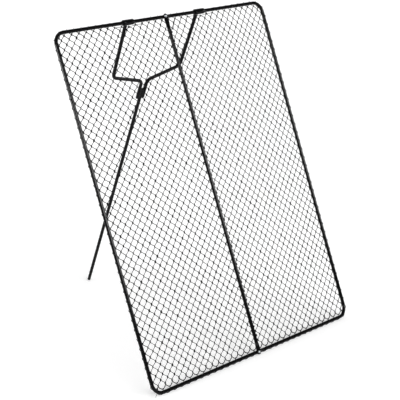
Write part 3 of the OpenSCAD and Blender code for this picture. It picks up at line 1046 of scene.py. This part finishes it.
    def knots(self) -> Surface:
        """Knots of two rounded lobes, long down the net, turned and sized by a seeded scatter.

        Those of the edge meshes are smaller, and the top row's a little less so.
        """
        i, j = np.indices(self.points.shape[:2])
        held = ((i + j) % 2 == 0) & ((j > 0) | (i == 0) | (i == self.columns))
        i, j, at = i[held], j[held], self.points[held]
        edge = (i == 0) | (i == self.columns) | (j == 0) | (j == self.rows)
        draw = np.random.default_rng(self.seed + 2)
        spread, least, most = self.knot_size
        size = np.clip(draw.normal(1.0, spread, len(at)), least, most) * np.where(edge, self.edge_knot, 1.0)
        size = np.where(j == self.rows, size * self.top_knot, size)
        turn = draw.normal(*np.radians(self.knot_turn), len(at))
        across = np.stack([np.cos(turn), np.sin(turn), 0 * turn], -1)
        return NET_KNOT.tie(at, across, -OUT_WAY, size, 1.0)

    def build(self) -> None:
        """Builds and dresses the net: its strands and its knots."""
        strands = gather([self.strands(), self.loops()])
        self.dresser.add("net_strands", strands, Slot.TWINE, NET_BODY, "net", sharp=None)
        self.dresser.add("net_knots", self.knots(), Slot.TWINE, NET_BODY, "net", sharp=None)


# Loose ends of the cord: start, pull and end of each, by the run that it leaves
CORD_TAILS = {
    "lacing_top_middle": ((35.0, 944.0, 2.5), (27.0, 938.0, 4.0), (19.0, 918.0, 1.8)),
    "lacing_bottom": ((-369.0, 6.0, 3.5), (-372.5, 0.5, 5.0), (-378.0, -3.5, 3.5)),
}


def wrapped(values: Array, period: float) -> Array:
    """A round of values, with its last one before it and its first one after it."""
    return np.concatenate([[values[-1] - period], values, [values[0] + period]])


def off_bar(angle: Array | float) -> Array:
    """Unit directions away from the centre bar: (cos a, 0, sin a)."""
    return np.stack([np.cos(angle), 0 * angle, np.sin(angle)], -1)


@dataclass
class Lacing:
    """One cord wound all round the frame's tube, once through each of the net's edge meshes."""

    dresser: Dresser
    net: KnottedNet
    bar: CentreBar
    turn_r: float = 5.95
    tip_beyond: float = 1.5
    corner_reach: float = 6.5
    sleeve_pass: float = 10.0
    sleeve_gap: float = 2.0
    sides: int = 8
    ring_gap: float = 0.56
    lay: float = 9.0
    flute: float = 0.2
    phase: float = 0.08
    phase_pull: float = 0.3
    most_lean: float = 1.4
    tail_rings: int = 24
    tie_r: float = 0.55
    tie_angle: float = 32.0
    tie_margin: float = 6.0
    tie_over: float = 0.4
    hitch_seat: float = 0.75
    hitch_size: float = 0.12
    bar_ring_gap: float = 0.8

    def route(self) -> BentRoute:
        """The tube's centre line, once round from the bottom rail's left end, with the net on its left."""
        steps = (2 * STRAIGHT_X, 90.0, FRAME_H - 2 * CORNER_R, 90.0)
        return BentRoute((-STRAIGHT_X, 0.0), 0.0, steps + steps + (0.0,), CORNER_R)

    def catches(self, route: BentRoute) -> tuple[Array, Array, Array]:
        """Where the cord passes the net's edge nodes.

        Args:
            route: the tube's centre line.

        Returns:
            Lengths along the route, the cord's whole turns there, and its reach towards the net.
        """
        net, marks, nodes = self.net, route.marks(), self.net.points
        even_x, even_y = np.arange(2, net.columns, 2), np.arange(2, net.rows, 2)
        sides = (nodes[even_x, 0], nodes[net.columns, even_y],
                 nodes[even_x[::-1], net.rows], nodes[0, even_y[::-1]])
        s, near = [], []
        for number, (held, start, left) in enumerate(zip(sides, *route.at(marks[0:8:2]))):
            offset = held - start
            corner = (marks[2 * number + 1] + marks[2 * number + 2]) / 2
            s += [marks[2 * number] + offset @ np.cross(left, OUT_WAY), [corner]]
            near += [offset @ left, [self.corner_reach]]
        s, near = np.concatenate(s), np.concatenate(near)
        # The cord makes no turn on its way past a sleeve
        off_middle = np.abs(marks[4] + STRAIGHT_X - s)
        passed = np.abs(off_middle - SLEEVE_X) < SLEEVE_LEN / 2 + self.sleeve_pass
        return s, np.cumsum(~(passed | np.roll(passed, 1))), near + self.tip_beyond

    def line(self, route: BentRoute) -> tuple[Array, Array, Array]:
        """The cord's centre line.

        At length s its turn is T(s), its angle 2 pi T from the net towards the back, and its distance from
        the tube's axis r / cos(b - |angle|) where it reaches over to the net, b = arccos(r / reach), else r.

        Args:
            route: the tube's centre line.

        Returns:
            Lengths along the route, points (n, 3) and unit directions away from the tube.
        """
        at, turns, reach = self.catches(route)
        whole = route.marks()[-1]
        s = np.linspace(0.0, whole, round(whole / self.ring_gap) + 1)
        at = wrapped(at, whole)
        angle = TURN * np.interp(s, at, wrapped(turns, turns[-1] - turns[0] + 1))
        limit = np.arccos(np.clip(self.turn_r / np.interp(s, at, wrapped(reach, 0.0)), -1, 1))
        folded = np.abs((angle + math.pi) % TURN - math.pi)
        eased = np.sqrt(folded ** 2 + self.phase ** 2) - self.phase * self.phase_pull
        radius = self.turn_r / np.cos(np.clip(limit - eased, 0, self.most_lean))
        centre, inward = route.at(s)
        away = inward * np.cos(angle)[:, None] - OUT_WAY * np.sin(angle)[:, None]
        return s, centre + away * radius[:, None], away

    def cord(self, centre: Array, away: Array, run: Array | None = None, radius: float = CORD_R) -> Surface:
        """Two plies laid round each other: radius R (1 - f + f cos 2 (a - lay angle)) round the centre line.

        Args:
            centre: points of the centre line (n, 3).
            away: directions (n, 3), or one for all, from which the lay's angle is measured.
            run: lengths of cord (n), or none to count from the first point.
            radius: of the cord, over its plies.

        Returns:
            The cord's skin.
        """
        run = run_length(centre) if run is None else run
        way = unit(np.gradient(centre, axis=0))
        across = unit(away - way * np.sum(away * way, 1, keepdims=True))
        twist = (TURN * run / self.lay)[:, None]
        radii = radius * (1 - self.flute + self.flute * np.cos(2 * (around(self.sides) - twist)))
        rings = ring_points(centre, across, np.cross(way, across), self.sides, radii)
        return skin(FRAME_PLANE.place(rings)[None], Ends.POLES, run * MM)

    def tail(self, path: tuple[tuple[float, float, float], ...]) -> Surface:
        """A short end of cord on a smooth path through three points: (1-t)^2 A + 2 t (1-t) B + t^2 C."""
        start, pull, end = np.array(path)
        t = np.linspace(0.0, 1.0, self.tail_rings)[:, None]
        return self.cord((1 - t) ** 2 * start + 2 * t * (1 - t) * pull + t ** 2 * end, OUT_WAY)

    def bar_tie(self) -> Surface:
        """The cord that ties the net to the centre bar, one turn and one hitch to a mesh.

        The cord runs r (cos a, sin a) round the bar. The hitches lie along the bar, flat against it beside
        the middle column's knots, and are sized by a seeded hair.
        """
        net, bar = self.net, self.bar
        mesh, clear = 2 * (net.top - net.bottom) / net.rows, bar.lug_len + bar.taper_len + self.tie_margin
        heights = net.bottom + mesh * (np.arange(net.rows // 2) + 0.5)
        heights = heights[(heights > clear) & (heights < FRAME_H - clear)]
        low, high = heights[0] - mesh * self.tie_over, heights[-1] + mesh * self.tie_over
        v = np.linspace(low, high, round((high - low) / self.bar_ring_gap))
        first = math.radians(self.tie_angle)
        away, axis = off_bar(TURN * (v - heights[0]) / mesh + first), bar.middle() * OUT_WAY
        centre = np.outer(v, Y_WAY) + axis + away * (bar.radius + self.tie_r)
        draw = np.random.default_rng(net.seed + 3).standard_normal(len(heights)).clip(-2, 2)
        size = 1 + self.hitch_size * draw
        seat, out = bar.radius + BAR_HITCH.thick * self.hitch_seat, off_bar(first)
        at, across = np.outer(heights, Y_WAY) + axis + out * seat, off_bar(first + TURN / 4)
        return gather([self.cord(centre, away, radius=self.tie_r),
                       BAR_HITCH.tie(at, across, out, size, size)])

    def build(self) -> None:
        """Builds and dresses the six runs of the lacing with its two loose ends, and the bar's tie."""
        route = self.route()
        marks, (s, centre, away) = route.marks(), self.line(route)
        run = run_length(centre)
        right_low, right_high, left_high, left_low = (marks[1:8:2] + marks[2:9:2]) / 2
        middle, by_sleeve = marks[4] + STRAIGHT_X, SLEEVE_X + SLEEVE_LEN / 2 + self.sleeve_gap
        cuts = {
            "lacing_right": (right_low, right_high),
            "lacing_top_right": (right_high, middle - by_sleeve),
            "lacing_top_middle": (middle - by_sleeve, middle + by_sleeve),
            "lacing_top_left": (middle + by_sleeve, left_high),
            "lacing_left": (left_high, left_low),
        }
        picks = {name: np.flatnonzero((s >= low - self.ring_gap) & (s <= high))
                 for name, (low, high) in cuts.items()}
        # The bottom run starts in the last half corner and goes on from the route's start
        picks["lacing_bottom"] = np.concatenate([
            np.flatnonzero(s >= left_low - self.ring_gap), np.flatnonzero((s > 0) & (s <= right_low))])
        for name, pick in picks.items():
            length = np.where(pick > pick[-1], run[pick] - run[-1], run[pick])
            parts = [self.cord(centre[pick], away[pick], length)]
            if name in CORD_TAILS:
                parts.append(self.tail(CORD_TAILS[name]))
            self.dresser.add(f"{name}_cord", gather(parts), Slot.CORD, NET_BODY, name, sharp=None)
        self.dresser.add("bar_tie_cord", self.bar_tie(), Slot.CORD, NET_BODY, sharp=None)
        log.info("lacing: %.0f mm of cord", run[-1])


# ---- Stand ----

@dataclass
class Stand:
    """The folding stand: two sleeves on the top rail, two bent arms welded to them and to the leg between."""

    dresser: Dresser
    sleeve_bore: float = 5.06
    sleeve_lip: float = 0.7
    sleeve_sides: int = 64
    setback: float = 6.5
    bend_x: float = 124.5
    bend_s: float = 180.0
    inner_s: float = 210.0
    end_x: float = 10.1
    end_s: float = 268.0
    bend_r: float = 17.0
    spacing: float = 18.0
    bend_step: float = 4.0
    top_ring: float = 10.0
    top_clear: float = 12.0
    top_cap: float = 14.0
    cap_clear: float = 4.0
    end_clear: float = 2.0
    cope_sink: float = 0.3
    leg_top: float = 238.0
    leg_end: float = 954.5
    leg_clear: float = 40.0
    leg_rings: int = 16
    tip_s: float = 956.0
    tip_stem: float = 18.0
    lip: float = 0.45
    sides: int = 40
    bead_r: float = 1.55
    bead_out: tuple[float, float] = (0.35, 0.3)
    bead_arc: tuple[float, float] = (14.0, -194.0)
    bead_sides: int = 10
    ripple_mm: float = 1.7
    ripple_share: float = 0.14
    leg_bead_r: float = 1.9
    leg_bead_s: tuple[float, float] = (245.0, 265.0)
    leg_bead_n: float = 3.4

    def route(self, side: Side) -> BentRoute:
        """Centre line of an arm, from the hinge line down, in towards the leg and down beside it."""
        corners = np.array([(SLEEVE_X, 0.0), (self.bend_x, self.bend_s),
                            (self.end_x, self.inner_s), (self.end_x, self.end_s)]) * (side.value, 1)
        legs = np.diff(corners, axis=0)
        headings = np.degrees(np.arctan2(legs[:, 1], legs[:, 0]))
        turns = np.diff(headings)
        cut = self.bend_r * np.tan(np.radians(np.abs(turns)) / 2)
        sizes = np.linalg.norm(legs, axis=1) - (cut[0], cut.sum(), cut[1])
        steps = (sizes[0], turns[0], sizes[1], turns[1], sizes[2])
        return BentRoute((side.value * SLEEVE_X, 0.0), headings[0], steps, self.bend_r)

    def turned(self, start: Array, across: Array, above: Array, s: Array, r: Array, sides: int) -> Array:
        """Rings of a straight turned piece, placed.

        Args:
            start: where s is 0.
            across: unit direction off the axis.
            above: another one; across x above is the way along.
            s: lengths along the axis.
            r: radius at each.
            sides: points in a ring.

        Returns:
            Points (1, rings, sides, 3) in metres.
        """
        centre = start + np.outer(s, np.cross(across, above))
        return STAND_PLANE.place(ring_points(centre, across, above, sides, r[:, None]))[None]

    def sleeve(self, side: Side) -> Surface:
        """A hinge sleeve: a short thick tube with rounded edges, turned about the top rail."""
        s, r = lipped(np.zeros(0), SLEEVE_LEN, SLEEVE_R, self.sleeve_bore, self.sleeve_lip)
        s, r = np.append(s, [SLEEVE_LEN, 0.0]), np.append(r, [self.sleeve_bore] * 2)
        start = (side.value * SLEEVE_X - SLEEVE_LEN / 2) * X_WAY
        return skin(self.turned(start, Y_WAY, OUT_WAY, s, r, self.sleeve_sides), Ends.JOINED)

    def arm(self, side: Side) -> Surface:
        """An arm: a bent tube open at its lower end, whose top is cut to lie on the back of its sleeve.

        A point b behind the hinge line meets the sleeve sqrt(R^2 - b^2) down from it.
        """
        route = self.route(side)
        stations = route.stations(self.spacing, self.bend_step)
        length, inside = stations[-1], stations < stations[-1] - self.end_clear
        outer = stations[(stations > self.top_clear) & inside]
        back = stations[(stations > self.top_cap + self.cap_clear) & inside][::-1]
        lip_s, lip_r = lip_rings(length, TUBE_R, self.lip)
        s = np.concatenate([[0.0, self.top_ring], outer, lip_s, [length], back, [self.top_cap]])
        r = np.concatenate([np.full(len(outer) + 2, TUBE_R), lip_r, np.full(len(back) + 2, BORE_R)])
        rings = tube_rings(route, s, r, self.setback, self.sides)
        # The first ring slides down the tube to the sleeve's skin
        ahead = (rings[1] - rings[0]).mean(0) / self.top_ring
        meets = np.sqrt(np.clip(SLEEVE_R ** 2 - rings[0, :, 2] ** 2, 0, None))
        rings[0] += np.outer(np.maximum(meets - self.cope_sink, 0.0) / ahead[1], ahead)
        return skin(STAND_PLANE.place(rings)[None], Ends.POLES, s * MM)

    def leg(self) -> Surface:
        """The leg: a straight tube, open at its top, with its bore."""
        length = self.leg_end - self.leg_top
        stations = np.linspace(self.leg_clear, length - self.leg_clear, self.leg_rings)
        s, r = lipped(stations, length, TUBE_R, BORE_R, self.lip)
        s, r = np.append(s, [length, 0.0]), np.append(r, [BORE_R] * 2)
        start = self.leg_top * Y_WAY + self.setback * OUT_WAY
        return skin(self.turned(start, X_WAY, -OUT_WAY, s, r, self.sides), Ends.JOINED, s * MM)

    def tip(self) -> Surface:
        """The leg's tip: a stem with two ribs in the tube, a thin collar and a dome, r = R sqrt(1 - t^2)."""
        core, rib, low = 3.8, 3.95, self.leg_end - self.tip_stem
        stem = [(0.0, 3.2), (0.6, core)]
        for foot in (4.0, 10.0):
            stem += [(foot, core), (foot + 0.4, rib), (foot + 1.2, rib), (foot + 1.6, core)]
        stem_s, stem_r = np.array(stem + [(self.tip_stem, core)]).T
        collar_s, collar_r = np.array([(0.0, 0.35), (0.15, 0.1), (0.4, 0.0)]).T
        t = np.linspace(0.0, 0.995, 14)
        s = np.concatenate([low + stem_s, self.leg_end + collar_s, self.tip_s + TUBE_R * t])
        r = np.concatenate([stem_r, TUBE_R - collar_r, TUBE_R * np.sqrt(1 - t ** 2)])
        rings = self.turned(self.setback * OUT_WAY, X_WAY, -OUT_WAY, s, r, self.sides)
        return skin(rings, Ends.POLES, s * MM)

    def bead(self, centre: Array, radius: float, lowest: float) -> Surface:
        """A weld bead along a path: radius R (1 + share sin(2 pi length / ripple)), rounded off at its ends.

        Args:
            centre: points of the path (n, 3).
            radius: of the bead.
            lowest: height over the hinge line under which the bead is flat.

        Returns:
            The bead's skin.
        """
        run, way = run_length(centre), unit(np.gradient(centre, axis=0))
        across = unit(np.cross(OUT_WAY, way))
        from_end = np.clip(np.minimum(run, run[-1] - run) / radius, 0, 1)
        ends = np.sqrt(np.clip(1 - (1 - from_end) ** 2, 0.02, 1))
        size = radius * ends * (1 + self.ripple_share * np.sin(TURN * run / self.ripple_mm))
        rings = ring_points(centre, across, np.cross(way, across), self.bead_sides, size[:, None])
        rings[..., 2] = np.maximum(rings[..., 2], lowest)
        return skin(STAND_PLANE.place(rings)[None], Ends.POLES, run * MM)

    def sleeve_bead(self, side: Side) -> Surface:
        """The bead round the front of an arm's top, where its tube meets the sleeve's skin."""
        on_arm, on_sleeve = TUBE_R + self.bead_out[0], SLEEVE_R + self.bead_out[1]
        a = np.radians(np.linspace(*self.bead_arc, 90))
        b = self.setback + on_arm * np.sin(a)
        s = np.sqrt(np.clip(on_sleeve ** 2 - b ** 2, 0, None))
        slope = math.radians(self.route(side).heading - 90.0)
        x = side.value * SLEEVE_X + on_arm * np.cos(a) - s * math.tan(slope)
        return self.bead(np.stack([x, s, b], -1), self.bead_r, self.setback - TUBE_R)

    def leg_beads(self) -> list[Surface]:
        """The four beads in the grooves between the leg and the arms' lower ends."""
        path, lowest = np.outer(np.linspace(*self.leg_bead_s, 60), Y_WAY), self.setback - TUBE_R + 0.1
        grooves = [(out * self.end_x / 2, self.setback + back * self.leg_bead_n)
                   for out in (-1, 1) for back in (-1, 1)]
        return [self.bead(path + x * X_WAY + n * OUT_WAY, self.leg_bead_r, lowest) for x, n in grooves]

    def build(self) -> None:
        """Builds and dresses the stand's pieces."""
        add = self.dresser.add
        for side in Side:
            word = side.word
            add(f"{word}_hinge_sleeve", self.sleeve(side), Slot.ENAMEL, STAND_BODY, f"{word}_sleeve")
            add(f"{word}_bent_arm", self.arm(side), Slot.ENAMEL, STAND_BODY, f"{word}_arm")
        add("leg_tube", self.leg(), Slot.ENAMEL, STAND_BODY, "leg")
        add("leg_end_cap", self.tip(), Slot.TIP, STAND_BODY, "leg_tip")
        sleeve_beads = gather([self.sleeve_bead(side) for side in Side])
        add("sleeve_weld_beads", sleeve_beads, Slot.ENAMEL, STAND_BODY, "sleeve_welds", sharp=None)
        add("leg_weld_beads", gather(self.leg_beads()), Slot.ENAMEL, STAND_BODY, "leg_welds", sharp=None)


def main() -> None:
    """Builds the studio and the sub-assemblies."""
    logging.basicConfig(level=logging.INFO, format="%(message)s")
    Studio().build()
    dresser = Dresser()
    TubeFrame(dresser).build()
    bar, net = CentreBar(dresser), KnottedNet(dresser)
    bar.build()
    net.build()
    Lacing(dresser, net, bar).build()
    Stand(dresser).build()
    bpy.context.view_layer.update()


if __name__ == "__main__":
    main()
